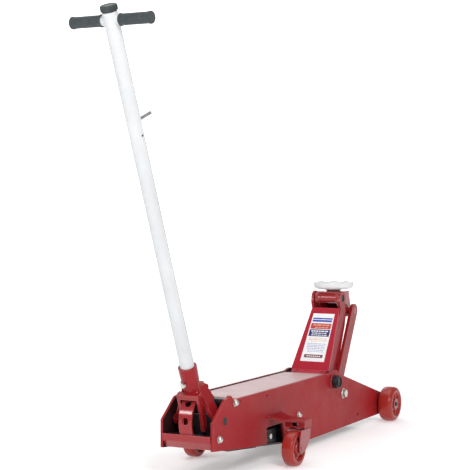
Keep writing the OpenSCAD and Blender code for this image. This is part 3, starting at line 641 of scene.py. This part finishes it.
def add_label():
    """Film with plain printed bands and rows of bars in place of any words."""
    rng = random.Random(11)
    mesh = bpy.data.meshes.new("arm_label_print")
    names = ["film"] + list(INKS)
    for name in names:
        mesh.materials.append(INKS.get(name, MATS["label"]))
    bm = bmesh.new()
    place = arm_place()

    def half_at(u):
        return 0.043 + (0.039 - 0.043) * (u - 0.033) / 0.183

    def patch(u0, u1, v0, v1, low, top, ink):
        corners = [(u0, v0), (u1, v0), (u1, v1), (u0, v1)]
        upper = [bm.verts.new(place @ Vector((u, v, top))) for u, v in corners]
        lower = [bm.verts.new(place @ Vector((u, v, low))) for u, v in corners]
        faces = [bm.faces.new(upper), bm.faces.new(lower[::-1])]
        for k in range(4):
            faces.append(bm.faces.new((upper[k], lower[k], lower[(k + 1) % 4], upper[(k + 1) % 4])))
        for face in faces:
            face.material_index = names.index(ink)

    base = [(0.033, 0.043), (0.216, 0.039)]
    low = [bm.verts.new(place @ Vector((u, s * v, 0.00003))) for u, v in base for s in (-1, 1)]
    top = [bm.verts.new(place @ Vector((u, s * v, 0.00032))) for u, v in base for s in (-1, 1)]
    order = (0, 2, 3, 1)
    bm.faces.new([top[i] for i in order])
    bm.faces.new([low[i] for i in reversed(order)])
    for a, b in zip(order, order[1:] + order[:1]):
        bm.faces.new((top[a], low[a], low[b], top[b]))
    for u0, u1, margin, ink in LABEL_BANDS:
        half = half_at(u1) - margin
        patch(u0, u1, -half, half, 0.0003, 0.00036, ink)
    for u, height, margin, shortest, longest, ink in LABEL_ROWS:
        limit = half_at(u) - margin
        v = -limit
        while v < limit - shortest:
            end = min(v + rng.uniform(shortest, longest), limit)
            patch(u, u + height, v, end, 0.0003, 0.0004, ink)
            v = end + 0.0022
    bmesh.ops.recalc_face_normals(bm, faces=bm.faces)
    bm.to_mesh(mesh)
    bm.free()
    as_piece("arm_label_print", mesh, "lift_arm", "label", "arm_label")


# ---------------------------------------------------------------- weld beads


def add_weld(name, points, radius, body, slot, seed, material=None):
    """A rippled bead along a line of points, in jack coordinates measured from the rear edge (mm)."""
    rng = random.Random(seed)
    path = [Vector(((REAR_X + x * MM), y * MM, z * MM)) for x, y, z in points]
    dense = []
    for a, b in zip(path, path[1:]):
        steps = max(2, int((b - a).length / (radius * MM * 0.55)))
        dense += [a.lerp(b, i / steps) for i in range(steps)]
    dense.append(path[-1])
    bm = bmesh.new()
    rings = []
    for i, p in enumerate(dense):
        ahead = dense[min(i + 1, len(dense) - 1)] - dense[max(i - 1, 0)]
        turn = ahead.to_track_quat("Z", "Y").to_matrix()
        end = 0.45 if i in (0, len(dense) - 1) else 1.0
        r = radius * MM * end * (0.86 + 0.14 * math.cos(i * 1.9) + rng.uniform(-0.06, 0.06))
        rings.append([bm.verts.new(p + turn @ Vector((r * math.cos(a), r * math.sin(a), 0)))
                      for a in [math.radians(36 * k) for k in range(10)]])
    for a, b in zip(rings, rings[1:]):
        for k in range(10):
            bm.faces.new((a[k], a[(k + 1) % 10], b[(k + 1) % 10], b[k]))
    bm.faces.new(rings[0][::-1])
    bm.faces.new(rings[-1])
    bmesh.ops.recalc_face_normals(bm, faces=bm.faces)
    obj = as_piece(name, mesh_of(bm, name, 60.0), body, slot)
    if material:
        obj.data.materials[0] = material


def ring_points(x, y, z, r, steps=40):
    """Points round a circle in the XZ plane."""
    out = []
    for i in range(steps + 1):
        a = 2 * math.pi * i / steps
        out.append((x + r * math.cos(a), y, z + r * math.sin(a)))
    return out


def add_welds():
    """Beads on the strap, caster brackets, lift bosses and tray."""
    add_weld("weld_strap", [(-2.5, -19.0, 131.6), (-2.5, 19.0, 131.6)], 1.9, "chassis", "red_paint", 1)
    for side, name in ((-1, "right"), (1, "left")):
        bracket = [(343, side * 83.4, 142), (435, side * 83.4, 142)]
        add_weld("weld_bracket_" + name, bracket, 2.0, "chassis", "red_paint", 3 + side, PLATE_PAINT)
        boss = ring_points(836, side * 83.4, 187, 24)
        add_weld("weld_boss_" + name, boss, 1.5, "chassis", "red_paint", 6 + side, PLATE_PAINT)
        tray = [(19, side * 74.2, 95), (60, side * 74.2, 90.4), (103, side * 74.2, 85.6)]
        add_weld("weld_tray_" + name, tray, 1.8, "chassis", "red_paint", 9 + side)


add_softened()
add_wheels()
add_saddle()
add_grips()
add_knob()
add_tube_screw()
add_label()
add_welds()


# ---------------------------------------------------------------- stage


def stage_material(name, near, far):
    """Pale sweep with a slight glow, stronger away from the jack, so that it reads almost white."""
    s = Shade(name)
    distance = s.add("ShaderNodeVectorMath", operation="LENGTH")
    s.link(s.coord, distance.inputs[0])
    s.feed(s.bsdf.inputs["Emission Strength"], s.ramp(distance.outputs["Value"], 1.2, 6.0, near, far))
    tone = s.mix(s.ramp(s.noise(0.8), 0.3, 0.7), (0.87, 0.87, 0.87), (0.89, 0.89, 0.89))
    s.bsdf.inputs["Emission Color"].default_value = (1.0, 1.0, 1.0, 1.0)
    return s.finish(tone, 0.9, Specular_IOR_Level=0.1)


def add_sweep():
    """Floor, and a wall far behind the jack as the camera sees it."""
    bpy.ops.mesh.primitive_plane_add(size=60.0)
    floor = bpy.context.object
    floor.name = "floor"
    floor.data.materials.append(stage_material("floor", 0.3, 0.8))
    facing = (math.pi / 2, 0.0, math.radians(-62.76))
    bpy.ops.mesh.primitive_plane_add(size=11.0, location=(12.5, 6.4, 0.0), rotation=facing)
    wall = bpy.context.object
    wall.name = "wall"
    wall.data.materials.append(stage_material("wall", 0.9, 0.95))


def add_light(name, where, size, power, at=(0.1, 0.0, 0.3)):
    data = bpy.data.lights.new(name, "AREA")
    data.size = size
    data.energy = power
    lamp = bpy.data.objects.new(name, data)
    lamp.location = where
    lamp.rotation_euler = (Vector(where) - Vector(at)).to_track_quat("Z", "Y").to_euler()
    bpy.context.scene.collection.objects.link(lamp)


def add_studio():
    """Floor, wall, four soft lights and an even pale world."""
    add_sweep()
    add_light("key", (-3.0, -2.8, 3.0), 1.6, 105.0)
    add_light("fill", (-3.58, 2.04, 2.14), 0.7, 30.0)
    add_light("top", (0.4, 0.2, 4.6), 3.4, 60.0)
    add_light("rim", (3.4, 2.6, 2.8), 2.2, 30.0)
    world = bpy.data.worlds.new("studio")
    world.use_nodes = True
    world.node_tree.nodes["Background"].inputs["Color"].default_value = (0.97, 0.98, 1.0, 1.0)
    world.node_tree.nodes["Background"].inputs["Strength"].default_value = 0.36
    bpy.context.scene.world = world
    bpy.context.scene.view_settings.view_transform = "Standard"


add_studio()
